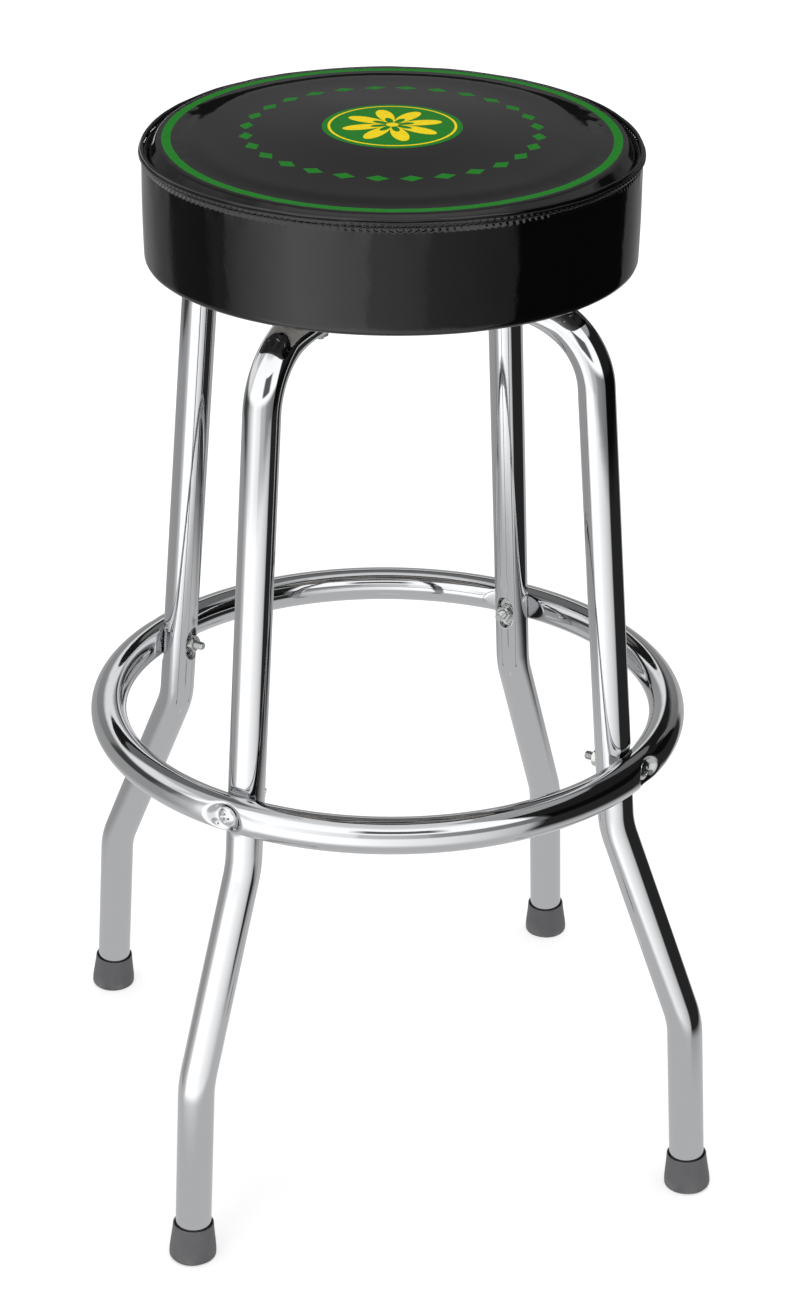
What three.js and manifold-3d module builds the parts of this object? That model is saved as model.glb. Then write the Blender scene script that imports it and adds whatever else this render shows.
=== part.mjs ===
import * as THREE from 'three';
import { mergeVertices } from 'three/addons/utils/BufferGeometryUtils.js';
import Module from 'manifold-3d';

// A swivelling workshop stool: a round padded seat on two bent tube hoops that cross below it,
// braced by a foot ring bolted outside the four legs.
// Sizes are in millimetres. Up is +Z, and the origin is on the floor below the swivel axis.

// Clearances
const gap = 0.3; // between pieces that touch or fit together
const overrun = 5; // how far a cutting body runs past what it cuts

// Driving sizes of the tube that the legs and the foot ring are bent from
const tube = {
  radius: 12.7,
  wall: 1.2,
  sides: 16,
  boreSides: 8,
};

// The padded seat: heights are above the floor
const seat = {
  rimHeight: 743,
  sideHeight: 74,
  radius: 168,
  bulge: 0.6,
  crownInset: 4,
  edgeRise: 8,
  edgeRound: 8,
  edgeSteps: 3,
  domeHeight: 8.5,
  domeSteps: 4,
  skin: 1,
  cornerRound: 4,
  cornerSteps: 3,
  flapWidth: 28,
  weltRadius: 2.2,
  weltLift: 1.5,
  weltSides: 6,
  boardThickness: 12.7,
  segments: 32,
};

// The swivel between the hoops and the seat board
const swivel = {
  height: 12.7,
  plateSide: 152.4,
  plateCorner: 10,
  plateThickness: 2.5,
  raceRadius: 57,
  raceDepth: 0.6,
  ballCount: 12,
  ballSides: 8,
  segments: 20,
  cageThickness: 1.6,
  cageMargin: 2.5,
  dishRadius: 24,
  dishSlope: 4,
  rivetRadius: 8,
  rivetWall: 2,
  rivetFlange: 6,
  rivetFlangeThickness: 1.8,
  frameHoleRadius: 90,
  seatHoleRadius: 74,
};

// The legs: each corner of the bent line by its distance from the swivel axis and its height
const leg = {
  footRadius: 261.5,
  lowKinkRadius: 251.7,
  lowKinkHeight: 138.5,
  highKinkRadius: 189.7,
  highKinkBelowRing: 48.4,
  shoulderRadius: 156,
  kinkBend: 60,
  kinkSteps: 3,
  shoulderBend: 51,
  shoulderSteps: 7,
};

// The pressed run of a hoop below the swivel, and its halved crossing
const run = {
  halfHeight: 7,
  pressedRadius: 106,
  pressReach: 30,
  crossingMargin: 2,
  crossingReach: 14,
};

// The foot ring, and the dents where it is bolted to a leg
const ring = {
  height: 329.7,
  arcSteps: 8,
  saddleDepth: 4,
  saddleFlat: 10,
  saddleReach: 17,
  headDimpleDepth: 8,
  headDimpleFlat: 8,
  headDimpleReach: 15,
};
const legDent = {
  saddleFlat: 10,
  saddleReach: 16,
  nutDimpleDepth: 5.5,
  nutDimpleFlat: 7,
  nutDimpleReach: 12.5,
};

// Fasteners: quarter-inch bolts with their nuts and lock washers, and the seat's wood screws
const bolt = {
  radius: 3.175,
  headRadius: 7.2,
  headHeight: 3.6,
  headRimHeight: 0.8,
  headSteps: 2,
  ringLength: 44.45,
  frameLength: 25.4,
  tipChamfer: 0.6,
  segments: 10,
};
const nut = {
  acrossFlats: 11.1,
  height: 5.6,
};
const washer = {
  radius: 6.2,
  thickness: 1.6,
};
const screw = {
  radius: 2.4,
  headRadius: 4.7,
  headHeight: 2.8,
  length: 12.7,
};

// The rubber foot tips
const tip = {
  height: 26.5,
  baseRadius: 16.7,
  topRadius: 14.5,
  baseRim: 5,
  edge: 1.2,
  floor: 4,
  segments: 16,
};

// The four legs by name, as quarter turns from the first one
const corners = ['back_right', 'back_left', 'front_left', 'front_right'];
const cornerAngle = (index) => Math.PI / 4 + (index * Math.PI) / 2;

// Places that follow from the sizes above
const seatBottom = seat.rimHeight - seat.sideHeight;
const boardBottom = seatBottom + seat.skin + gap;
const boardTop = boardBottom + seat.boardThickness;
const swivelTop = boardBottom - gap;
const swivelBottom = swivelTop - swivel.height;
const runTop = swivelBottom - gap;
const runHeight = runTop - run.halfHeight;
const plateGap = swivel.height - 2 * swivel.plateThickness;
const ballRadius = plateGap / 2 + swivel.raceDepth - gap;
const raceGroove = ballRadius + gap;
const dishDepth = (plateGap - 2 * gap) / 2;
const midSwivel = swivelBottom + swivel.height / 2;
const frameHeadSeat = swivelBottom + swivel.plateThickness + gap;
const screwHeadSeat = swivelTop - swivel.plateThickness - gap;

const weltCentre = seat.radius - seat.weltRadius + seat.skin;
const coverEdge = weltCentre - seat.weltRadius - gap;
const padRadius = seat.radius - seat.skin - gap;
const crownEdge = seat.radius - seat.crownInset;

const highKinkHeight = ring.height - leg.highKinkBelowRing;
const legPathPoints = {
  foot: new THREE.Vector2(leg.footRadius, 0),
  lowKink: new THREE.Vector2(leg.lowKinkRadius, leg.lowKinkHeight),
  highKink: new THREE.Vector2(leg.highKinkRadius, highKinkHeight),
  shoulder: new THREE.Vector2(leg.shoulderRadius, runHeight),
  middle: new THREE.Vector2(0, runHeight),
};
const upperLegRadius = (height) =>
  THREE.MathUtils.mapLinear(height, highKinkHeight, runHeight, leg.highKinkRadius, leg.shoulderRadius);
const legAtRing = upperLegRadius(ring.height);

// A tube pressed to a half height keeps its wall's length, so its flats grow as it gets lower.
const pressedFlat = (halfHeight) => Math.PI * (tube.radius - halfHeight);
const crossingHalfHeight = (run.halfHeight - gap / 2) / 2;
const crossingHalfWidth = pressedFlat(crossingHalfHeight) / 2 + crossingHalfHeight;
const crossingFlat = crossingHalfWidth + run.crossingMargin;
const crossingEnd = crossingFlat + run.crossingReach;

const saddleHalf = tube.radius - ring.saddleDepth;
const legSaddle = legAtRing + saddleHalf;
const ringRadius = legSaddle + gap + saddleHalf;
const nutSeat = legAtRing - tube.radius + legDent.nutDimpleDepth;
const headSeat = ringRadius + tube.radius - ring.headDimpleDepth;
const boltHole = bolt.radius + gap;

const wasm = await Module();
wasm.setup();

// Materials
const chrome = new THREE.MeshStandardMaterial({ color: 0xd9dbde, metalness: 1, roughness: 0.08 });
const zinc = new THREE.MeshStandardMaterial({ color: 0xb9bcbd, metalness: 1, roughness: 0.35 });
const darkSteel = new THREE.MeshStandardMaterial({ color: 0x5b5d60, metalness: 1, roughness: 0.45 });
const bearingSteel = new THREE.MeshStandardMaterial({ color: 0xc9cbcc, metalness: 1, roughness: 0.15 });
const rubber = new THREE.MeshStandardMaterial({ color: 0x69696c, metalness: 0, roughness: 0.8 });
const vinyl = new THREE.MeshStandardMaterial({ color: 0x0b0b0c, metalness: 0, roughness: 0.12 });
const foam = new THREE.MeshStandardMaterial({ color: 0xd8c98f, metalness: 0, roughness: 0.95 });
const plywood = new THREE.MeshStandardMaterial({ color: 0xb98d5a, metalness: 0, roughness: 0.7 });

// Turns a closed geometry into a solid for cutting and joining.
function solidOf(geometry) {
  const bare = geometry.clone();
  bare.deleteAttribute('normal');
  bare.deleteAttribute('uv');
  const merged = mergeVertices(bare.index ? bare : mergeVertices(bare));
  return new wasm.Manifold(
    new wasm.Mesh({
      numProp: 3,
      vertProperties: new Float32Array(merged.attributes.position.array),
      triVerts: new Uint32Array(merged.index.array),
    }),
  );
}

// Turns a solid back into a geometry.
function geometryOf(solid) {
  const mesh = solid.getMesh();
  const geometry = new THREE.BufferGeometry();
  geometry.setAttribute('position', new THREE.BufferAttribute(mesh.vertProperties, 3));
  geometry.setIndex(new THREE.BufferAttribute(mesh.triVerts, 1));
  geometry.computeVertexNormals();
  return geometry;
}

// Revolves a profile of [radius, height] pairs about the Z axis.
function revolve(profile, segments) {
  const points = profile.map(([radius, height]) => new THREE.Vector2(radius, height));
  return new THREE.LatheGeometry(points, segments).rotateX(Math.PI / 2);
}

// A cylinder along Z between two heights.
function rod(radius, bottom, top, segments) {
  const cylinder = new THREE.CylinderGeometry(radius, radius, top - bottom, segments);
  return cylinder.rotateX(Math.PI / 2).translate(0, 0, (bottom + top) / 2);
}

// An outline pushed up along Z from height zero.
function slab(shape, thickness, curveSegments) {
  return new THREE.ExtrudeGeometry(shape, { depth: thickness, bevelEnabled: false, curveSegments });
}

// How much of a dent is left at a distance: all of it up to flat, none of it from reach.
function dentShare(distance, flat, reach) {
  return THREE.MathUtils.clamp((reach - Math.abs(distance)) / (reach - flat), 0, 1);
}

// One ring of points of a pressed tube's section: two half circles joined by flats, with the
// wall's length unchanged. Each point is [across, outward].
function pressedSection(sides, halfHeight, flatWidth, pressed) {
  const flatness = THREE.MathUtils.lerp(1, 1 / Math.cos(Math.PI / sides), pressed);
  return Array.from({ length: sides }, (_, k) => {
    const angle = ((k + 0.5) * 2 * Math.PI) / sides;
    const side = Math.sign(Math.cos(angle));
    return [(side * flatWidth) / 2 + halfHeight * Math.cos(angle), halfHeight * flatness * Math.sin(angle)];
  });
}

// Walls between successive rings of equal length. A reversed skin faces the other way.
function skinRings(indices, rings, sides, firstVertex, closed, reversed) {
  const last = closed ? rings : rings - 1;
  for (let i = 0; i < last; i++) {
    const here = firstVertex + i * sides;
    const there = firstVertex + ((i + 1) % rings) * sides;
    for (let k = 0; k < sides; k++) {
      const next = (k + 1) % sides;
      const quad = [here + k, there + k, there + next, here + next];
      if (reversed) quad.reverse();
      indices.push(quad[0], quad[1], quad[2], quad[0], quad[2], quad[3]);
    }
  }
}

// The flat end of a hollow tube, between its outer ring and a bore ring of half as many points.
function skinEnd(indices, outer, bore, boreSides, reversed) {
  const sides = boreSides * 2;
  for (let j = 0; j < boreSides; j++) {
    const boreNext = bore + ((j + 1) % boreSides);
    const first = outer + 2 * j;
    const second = outer + 2 * j + 1;
    const third = outer + ((2 * j + 2) % sides);
    const faces = [
      [bore + j, first, second],
      [bore + j, second, third],
      [bore + j, third, boreNext],
    ];
    for (const face of faces) {
      if (reversed) face.reverse();
      indices.push(...face);
    }
  }
}

function geometryFrom(points, indices) {
  const geometry = new THREE.BufferGeometry();
  geometry.setAttribute('position', new THREE.Float32BufferAttribute(points.flat(), 3));
  geometry.setIndex(indices);
  return geometry;
}

// Stations round one corner of a bent line, on an arc of the given radius.
function bendStations(before, corner, after, bend, steps) {
  const into = corner.clone().sub(before).normalize();
  const onward = after.clone().sub(corner).normalize();
  const turn = Math.acos(into.dot(onward));
  const start = corner.clone().addScaledVector(into, -bend * Math.tan(turn / 2));
  const side = onward.clone().addScaledVector(into, -into.dot(onward)).normalize();
  return Array.from({ length: steps + 1 }, (_, i) => {
    const angle = (turn * i) / steps;
    const sine = Math.sin(angle);
    const rise = 1 - Math.cos(angle);
    return {
      at: start.clone().addScaledVector(into, bend * sine).addScaledVector(side, bend * rise),
      along: into.clone().multiplyScalar(Math.cos(angle)).addScaledVector(side, sine),
    };
  });
}

// Level stations on the upper leg, at the edges of the two dents by the foot ring.
function dentStations() {
  const edges = [legDent.saddleReach, legDent.nutDimpleReach, legDent.saddleFlat, legDent.nutDimpleFlat];
  const levels = [...edges.map((edge) => -edge), ...edges.reverse()];
  return levels.map((level) => {
    const height = ring.height + level;
    return { at: new THREE.Vector2(upperLegRadius(height), height), along: new THREE.Vector2(0, 1) };
  });
}

// Stations on the level run below the swivel, from the pressed shoulder to the middle.
function runStations() {
  const places = [run.pressedRadius, crossingEnd, (crossingFlat + crossingEnd) / 2, crossingFlat, 0];
  return places.map((place) => ({
    at: new THREE.Vector2(place, runHeight),
    along: new THREE.Vector2(-1, 0),
  }));
}

// The hollow foot end, set back from the floor by the rubber under it.
function footStation() {
  const along = legPathPoints.lowKink.clone().sub(legPathPoints.foot).normalize();
  return { at: legPathPoints.foot.clone().addScaledVector(along, tip.floor + gap), along };
}

function halfHoopStations() {
  const { foot, lowKink, highKink, shoulder, middle } = legPathPoints;
  return [
    footStation(),
    ...bendStations(foot, lowKink, highKink, leg.kinkBend, leg.kinkSteps),
    ...bendStations(lowKink, highKink, shoulder, leg.kinkBend, leg.kinkSteps),
    ...dentStations(),
    ...bendStations(highKink, shoulder, middle, leg.shoulderBend, leg.shoulderSteps),
    ...runStations(),
  ];
}

// The section of a hoop at one station, as points in space. inset is zero for the outer skin and
// the wall for the bore. lift is +1 where the hoop crosses over the other one, -1 where under.
function hoopRing(station, sides, inset, lift) {
  const { at, along } = station;
  const pressStart = run.pressedRadius + run.pressReach;
  const pressed = at.y > ring.height ? THREE.MathUtils.smoothstep(pressStart - at.x, 0, run.pressReach) : 0;
  const crossed = THREE.MathUtils.smoothstep(crossingEnd - at.x, 0, run.crossingReach);
  const fullHalf = THREE.MathUtils.lerp(tube.radius, run.halfHeight, pressed);
  const half = THREE.MathUtils.lerp(fullHalf, crossingHalfHeight, crossed);
  const shift = lift * crossed * (run.halfHeight - crossingHalfHeight);
  const section = pressedSection(sides, half - inset, pressedFlat(half), pressed);
  return section.map(([across, outward]) => {
    const x = at.x + along.y * outward;
    const z = at.y - along.x * outward + shift;
    return [dentedLegX(x, z, inset), across, z];
  });
}

// The leg's dents at the foot ring: a level saddle outside for the ring, a dimple inside for the nut.
function dentedLegX(x, z, inset) {
  const level = z - ring.height;
  const saddle = dentShare(level, legDent.saddleFlat, legDent.saddleReach);
  const dimple = dentShare(level, legDent.nutDimpleFlat, legDent.nutDimpleReach);
  const outside = THREE.MathUtils.lerp(x, Math.min(x, legSaddle - inset), saddle);
  return THREE.MathUtils.lerp(outside, Math.max(outside, nutSeat + inset), dimple);
}

// One hoop: a single tube bent from foot to foot, in its own XZ plane.
function makeHoop(lift) {
  const stations = halfHoopStations();
  const skin = (sides, inset) => {
    const half = stations.map((station) => hoopRing(station, sides, inset, lift));
    const mirrored = half.slice(0, -1).reverse();
    return [...half, ...mirrored.map((points) => points.map(([x, y, z]) => [-x, y, z]))];
  };
  const outer = skin(tube.sides, 0);
  const bore = skin(tube.boreSides, tube.wall);
  const rings = outer.length;
  const boreStart = rings * tube.sides;
  const indices = [];
  skinRings(indices, rings, tube.sides, 0, false, false);
  skinRings(indices, rings, tube.boreSides, boreStart, false, true);
  skinEnd(indices, 0, boreStart, tube.boreSides, false);
  const lastBore = boreStart + (rings - 1) * tube.boreSides;
  skinEnd(indices, (rings - 1) * tube.sides, lastBore, tube.boreSides, true);
  let hoop = solidOf(geometryFrom([...outer.flat(), ...bore.flat()], indices));
  for (const side of [1, -1]) {
    hoop = hoop.subtract(solidOf(ringBoltHole(side)));
    hoop = hoop.subtract(solidOf(frameBoltHole(side)));
  }
  return geometryOf(hoop);
}

// The level hole for a ring bolt, through both walls of the leg and of the ring.
function ringBoltHole(side) {
  const inner = legAtRing - tube.radius - overrun;
  const outer = ringRadius + tube.radius + overrun;
  const hole = rod(boltHole, inner, outer, bolt.segments).rotateY((side * Math.PI) / 2);
  return hole.translate(0, 0, ring.height);
}

// The upright hole for a frame bolt, through both walls of the pressed run.
function frameBoltHole(side) {
  const bottom = runTop - 2 * run.halfHeight - overrun;
  const hole = rod(boltHole, bottom, runTop + overrun, bolt.segments);
  return hole.translate(side * swivel.frameHoleRadius, 0, 0);
}

// Angles of the foot ring's stations, counted from the nearest bolt.
function ringStations() {
  const edges = [ring.headDimpleFlat, ring.saddleFlat, ring.headDimpleReach, ring.saddleReach];
  const dent = edges.map((edge) => edge / ringRadius);
  const dentEnd = dent[dent.length - 1];
  const arc = Math.PI / 2 - 2 * dentEnd;
  const between = Array.from({ length: ring.arcSteps - 1 }, (_, i) => dentEnd + (arc * (i + 1)) / ring.arcSteps);
  return [...dent.map((angle) => -angle).reverse(), ...dent, ...between];
}

// One skin of the foot ring. Every bolt has a flat saddle inside for the leg, and a dimple outside
// for the bolt's head.
function ringSkin(sides, inset) {
  const section = pressedSection(sides, tube.radius - inset, 0, 0);
  const points = [];
  let rings = 0;
  corners.forEach((_, index) => {
    for (const angle of ringStations()) {
      for (const [up, outward] of section) {
        points.push(dentedRingPoint(angle, cornerAngle(index), up, outward, inset));
      }
      rings += 1;
    }
  });
  const indices = [];
  skinRings(indices, rings, sides, 0, true, true);
  return solidOf(geometryFrom(points, indices));
}

function dentedRingPoint(angle, turn, up, outward, inset) {
  const reach = ringRadius + outward;
  const along = reach * Math.sin(angle);
  const station = ringRadius * angle;
  let out = reach * Math.cos(angle);
  const saddle = dentShare(station, ring.saddleFlat, ring.saddleReach);
  out = THREE.MathUtils.lerp(out, Math.max(out, legSaddle + gap + inset), saddle);
  if (Math.abs(up) < ring.headDimpleFlat) {
    const dimple = dentShare(station, ring.headDimpleFlat, ring.headDimpleReach);
    out = THREE.MathUtils.lerp(out, Math.min(out, headSeat - inset), dimple);
  }
  const x = out * Math.cos(turn) - along * Math.sin(turn);
  const y = out * Math.sin(turn) + along * Math.cos(turn);
  return [x, y, up];
}

// The foot ring: a hollow hoop of tube with four bolted dents.
function makeFootRing() {
  let body = ringSkin(tube.sides, 0).subtract(ringSkin(tube.boreSides, tube.wall));
  corners.forEach((_, index) => {
    const hole = ringBoltHole(1).translate(0, 0, -ring.height).rotateZ(cornerAngle(index));
    body = body.subtract(solidOf(hole));
  });
  return geometryOf(body);
}

// A bolt or screw along -Z: a low domed head above height zero and a plain shank below it.
function makeBolt(shankRadius, headRadius, headHeight, length) {
  const dome = Array.from({ length: bolt.headSteps }, (_, i) => {
    const angle = (i * Math.PI) / 2 / bolt.headSteps;
    const rise = (headHeight - bolt.headRimHeight) * Math.sin(angle);
    return [headRadius * Math.cos(angle), bolt.headRimHeight + rise];
  });
  const profile = [
    [0, -length],
    [shankRadius - bolt.tipChamfer, -length],
    [shankRadius, -length + bolt.tipChamfer],
    [shankRadius, 0],
    [headRadius, 0],
    ...dome,
    [0, headHeight],
  ];
  return revolve(profile, bolt.segments);
}

// A hexagon nut, from height zero up.
function makeNut() {
  const corner = nut.acrossFlats / 2 / Math.cos(Math.PI / 6);
  const shape = new THREE.Shape();
  for (let i = 0; i < 6; i++) {
    const angle = (i * Math.PI) / 3;
    const point = [corner * Math.cos(angle), corner * Math.sin(angle)];
    if (i === 0) shape.moveTo(...point);
    else shape.lineTo(...point);
  }
  shape.closePath();
  shape.holes.push(new THREE.Path().absarc(0, 0, boltHole, 0, 2 * Math.PI, true));
  return slab(shape, nut.height, bolt.segments / 2);
}

// A flat ring between two radii, from height zero up.
function makeWasher(innerRadius, outerRadius, thickness, segments) {
  const profile = [
    [innerRadius, 0],
    [outerRadius, 0],
    [outerRadius, thickness],
    [innerRadius, thickness],
    [innerRadius, 0],
  ];
  return revolve(profile, segments);
}

// A rubber foot tip, made about the leg's foot axis and cut flat at the floor. Its origin is where
// the leg's centre line meets the floor, and the leg leans in the XZ plane.
function makeFootTip() {
  const bore = tube.radius + gap;
  const below = tip.baseRim;
  const profile = [
    [0, -below],
    [tip.baseRadius, -below],
    [tip.baseRadius, tip.baseRim],
    [tip.topRadius, tip.height - tip.edge],
    [tip.topRadius - tip.edge, tip.height],
    [bore, tip.height],
    [bore, tip.floor],
    [0, tip.floor],
  ];
  const lean = Math.atan2(leg.lowKinkRadius - leg.footRadius, leg.lowKinkHeight);
  const body = solidOf(revolve(profile, tip.segments).rotateY(lean));
  const span = 2 * (tip.baseRadius + overrun);
  const underside = new THREE.BoxGeometry(span, span, span).translate(0, 0, -span / 2);
  return geometryOf(body.subtract(solidOf(underside)));
}

// One swivel plate: a square sheet whose middle is pressed up, with a ball race, holes for the
// frame bolts and the seat screws, and a hole for the rivet. It lies on height zero, race side up.
function makeSwivelPlate() {
  const half = swivel.plateSide / 2;
  const straight = half - swivel.plateCorner;
  const shape = new THREE.Shape();
  shape.moveTo(half, -straight);
  shape.absarc(straight, straight, swivel.plateCorner, 0, Math.PI / 2);
  shape.absarc(-straight, straight, swivel.plateCorner, Math.PI / 2, Math.PI);
  shape.absarc(-straight, -straight, swivel.plateCorner, Math.PI, (3 * Math.PI) / 2);
  shape.absarc(straight, -straight, swivel.plateCorner, (3 * Math.PI) / 2, 2 * Math.PI);
  corners.forEach((_, index) => {
    shape.holes.push(plateHole(swivel.frameHoleRadius, cornerAngle(index), boltHole));
    shape.holes.push(plateHole(swivel.seatHoleRadius, cornerAngle(index), screw.radius + gap));
  });
  const sheet = solidOf(slab(shape, swivel.plateThickness, bolt.segments / 2));
  const top = swivel.plateThickness + dishDepth;
  const foot = swivel.dishRadius + swivel.dishSlope;
  const boss = revolve(
    [
      [0, swivel.plateThickness / 2],
      [foot, swivel.plateThickness / 2],
      [foot, swivel.plateThickness],
      [swivel.dishRadius, top],
      [0, top],
    ],
    swivel.segments,
  );
  const recess = revolve(
    [
      [0, -overrun],
      [foot - swivel.plateThickness, -overrun],
      [foot - swivel.plateThickness, 0],
      [swivel.dishRadius - swivel.plateThickness, dishDepth],
      [0, dishDepth],
    ],
    swivel.segments,
  );
  const race = new THREE.TorusGeometry(swivel.raceRadius, raceGroove, bolt.segments, swivel.segments);
  race.translate(0, 0, swivel.plateThickness + plateGap / 2);
  const hole = rod(swivel.rivetRadius + gap, -overrun, top + overrun, swivel.segments);
  return geometryOf(
    sheet.add(solidOf(boss)).subtract(solidOf(recess)).subtract(solidOf(race)).subtract(solidOf(hole)),
  );
}

function plateHole(radius, angle, size) {
  const x = radius * Math.cos(angle);
  const y = radius * Math.sin(angle);
  return new THREE.Path().absarc(x, y, size, 0, 2 * Math.PI, true);
}

// The hollow rivet that holds the two plates together, about the middle of the swivel.
function makeRivet() {
  const sheetFace = swivel.height / 2 - dishDepth + gap;
  const end = sheetFace + swivel.rivetFlangeThickness;
  const bore = swivel.rivetRadius - swivel.rivetWall;
  const flange = swivel.rivetRadius + swivel.rivetFlange;
  const profile = [
    [bore, -end],
    [flange, -end],
    [flange, -sheetFace],
    [swivel.rivetRadius, -sheetFace],
    [swivel.rivetRadius, sheetFace],
    [flange, sheetFace],
    [flange, end],
    [bore, end],
    [bore, -end],
  ];
  return revolve(profile, swivel.segments);
}

// The ball cage: a thin ring with a pocket for each ball, about the middle of the swivel.
function makeCage() {
  const pocket = ballRadius + gap;
  const margin = pocket + swivel.cageMargin;
  const shape = new THREE.Shape().absarc(0, 0, swivel.raceRadius + margin, 0, 2 * Math.PI);
  shape.holes.push(new THREE.Path().absarc(0, 0, swivel.raceRadius - margin, 0, 2 * Math.PI, true));
  let cage = solidOf(slab(shape, swivel.cageThickness, swivel.segments / 2));
  for (let i = 0; i < swivel.ballCount; i++) {
    const cut = rod(pocket, -overrun, swivel.cageThickness + overrun, bolt.segments);
    cut.translate(swivel.raceRadius, 0, 0).rotateZ(ballAngle(i));
    cage = cage.subtract(solidOf(cut));
  }
  return geometryOf(cage).translate(0, 0, -swivel.cageThickness / 2);
}

const ballAngle = (index) => (index * 2 * Math.PI) / swivel.ballCount;

// Height that the shallow dome of the seat adds at a distance from the middle.
function dome(radius) {
  return seat.domeHeight * (1 - Math.pow(radius / crownEdge, 2));
}

// Points over the crown from the rim to the middle: up round the plump edge, then over the dome.
// They lie sunk below the finished surface.
function crownProfile(sink) {
  const rollStart = crownEdge - seat.edgeRound;
  const roll = Array.from({ length: seat.edgeSteps + 1 }, (_, i) => {
    const angle = (i * Math.PI) / 2 / seat.edgeSteps;
    const radius = rollStart + (seat.edgeRound - sink) * Math.cos(angle);
    return [radius, seat.rimHeight + dome(radius) + (seat.edgeRise - sink) * Math.sin(angle)];
  });
  const top = Array.from({ length: seat.domeSteps }, (_, i) => {
    const radius = rollStart * (1 - (i + 1) / seat.domeSteps);
    return [radius, seat.rimHeight + dome(radius) + seat.edgeRise - sink];
  });
  return [...roll, ...top];
}

// The crowned foam pad on the board.
function makeFoamPad() {
  const under = seat.skin + gap;
  const profile = [
    [0, boardTop + gap],
    [padRadius, boardTop + gap],
    [padRadius, seat.rimHeight - seat.cornerRound],
    [crownEdge - under, seat.rimHeight - under],
    ...crownProfile(under),
  ];
  return revolve(profile, seat.segments);
}

// The vinyl top: a thin skin over the crown, with a narrow level margin at the seam.
function makeTopCover() {
  const below = seat.rimHeight - seat.skin;
  const outer = [[coverEdge, seat.rimHeight], ...crownProfile(0)];
  const inner = [[coverEdge, below], [crownEdge - seat.skin, below], ...crownProfile(seat.skin)];
  return revolve([...inner.reverse(), ...outer], seat.segments);
}

// The vinyl side band: upright, a little fuller at half height, turned under the board's edge.
function makeSideBand() {
  const top = seat.rimHeight + seat.weltLift - seat.weltRadius - gap;
  const skin = (inset) => {
    const face = seat.radius - inset;
    const bottom = seatBottom + inset;
    const round = seat.cornerRound - inset;
    const corner = Array.from({ length: seat.cornerSteps + 1 }, (_, i) => {
      const angle = (i * Math.PI) / 2 / seat.cornerSteps;
      const sine = round * (1 - Math.sin(angle));
      const cosine = round * (1 - Math.cos(angle));
      return [face - sine, bottom + cosine];
    });
    const middle = (bottom + top) / 2;
    return [[padRadius - seat.flapWidth, bottom], ...corner, [face + seat.bulge, middle], [face, top]];
  };
  const outer = skin(0);
  return revolve([...outer, ...skin(seat.skin).reverse(), outer[0]], seat.segments);
}

// The welt: a round cord sewn into the seam between the top and the band.
function makeWelt() {
  return new THREE.TorusGeometry(weltCentre, seat.weltRadius, seat.weltSides, seat.segments);
}

// The plywood seat board, with a pilot hole for each seat screw.
function makeSeatBoard() {
  const profile = [
    [0, boardBottom],
    [padRadius - seat.cornerRound, boardBottom],
    [padRadius, boardBottom + seat.cornerRound],
    [padRadius, boardTop],
    [0, boardTop],
  ];
  let board = solidOf(revolve(profile, seat.segments));
  const tipHeight = screwHeadSeat + screw.length + gap;
  corners.forEach((_, index) => {
    const pilot = rod(screw.radius + gap, boardBottom - overrun, tipHeight, bolt.segments);
    pilot.translate(swivel.seatHoleRadius, 0, 0).rotateZ(cornerAngle(index));
    board = board.subtract(solidOf(pilot));
  });
  return geometryOf(board);
}

const stool = new THREE.Group();

function place(parent, name, geometry, material, x = 0, y = 0, z = 0) {
  const mesh = new THREE.Mesh(geometry, material);
  mesh.name = name;
  mesh.position.set(x, y, z);
  parent.add(mesh);
  return mesh;
}

// Legs and foot ring
function addFrame() {
  const lower = place(stool, 'leg_hoop_lower', makeHoop(-1), chrome);
  lower.rotation.z = cornerAngle(0);
  const upper = place(stool, 'leg_hoop_upper', makeHoop(1), chrome);
  upper.rotation.z = cornerAngle(1);
  place(stool, 'foot_ring', makeFootRing(), chrome, 0, 0, ring.height);
}

// What each leg carries: its foot tip, the foot ring's bolt, nut and washer, and a frame bolt
function addCornerPieces() {
  const footTip = makeFootTip();
  const ringBolt = makeBolt(bolt.radius, bolt.headRadius, bolt.headHeight, bolt.ringLength).rotateY(Math.PI / 2);
  const frameBolt = makeBolt(bolt.radius, bolt.headRadius, bolt.headHeight, bolt.frameLength);
  const seatScrew = makeBolt(screw.radius, screw.headRadius, screw.headHeight, screw.length).rotateX(Math.PI);
  const frameNut = makeNut().translate(0, 0, -nut.height);
  const ringNut = frameNut.clone().rotateY(Math.PI / 2);
  const ringWasher = makeWasher(boltHole, washer.radius, washer.thickness, bolt.segments)
    .translate(0, 0, -washer.thickness)
    .rotateY(Math.PI / 2);
  const washerFace = nutSeat - gap;
  const nutFace = washerFace - washer.thickness - gap;
  const nutTop = runTop - 2 * run.halfHeight - gap;
  corners.forEach((name, index) => {
    const corner = new THREE.Group();
    corner.rotation.z = cornerAngle(index);
    stool.add(corner);
    place(corner, `foot_tip_${name}`, footTip, rubber, leg.footRadius);
    place(corner, `ring_bolt_${name}`, ringBolt, chrome, headSeat + gap, 0, ring.height);
    place(corner, `ring_lock_washer_${name}`, ringWasher, zinc, washerFace, 0, ring.height);
    place(corner, `ring_nut_${name}`, ringNut, zinc, nutFace, 0, ring.height);
    place(corner, `frame_bolt_${name}`, frameBolt, zinc, swivel.frameHoleRadius, 0, frameHeadSeat);
    place(corner, `frame_nut_${name}`, frameNut, zinc, swivel.frameHoleRadius, 0, nutTop);
    place(corner, `seat_screw_${name}`, seatScrew, zinc, swivel.seatHoleRadius, 0, screwHeadSeat);
  });
}

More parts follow.
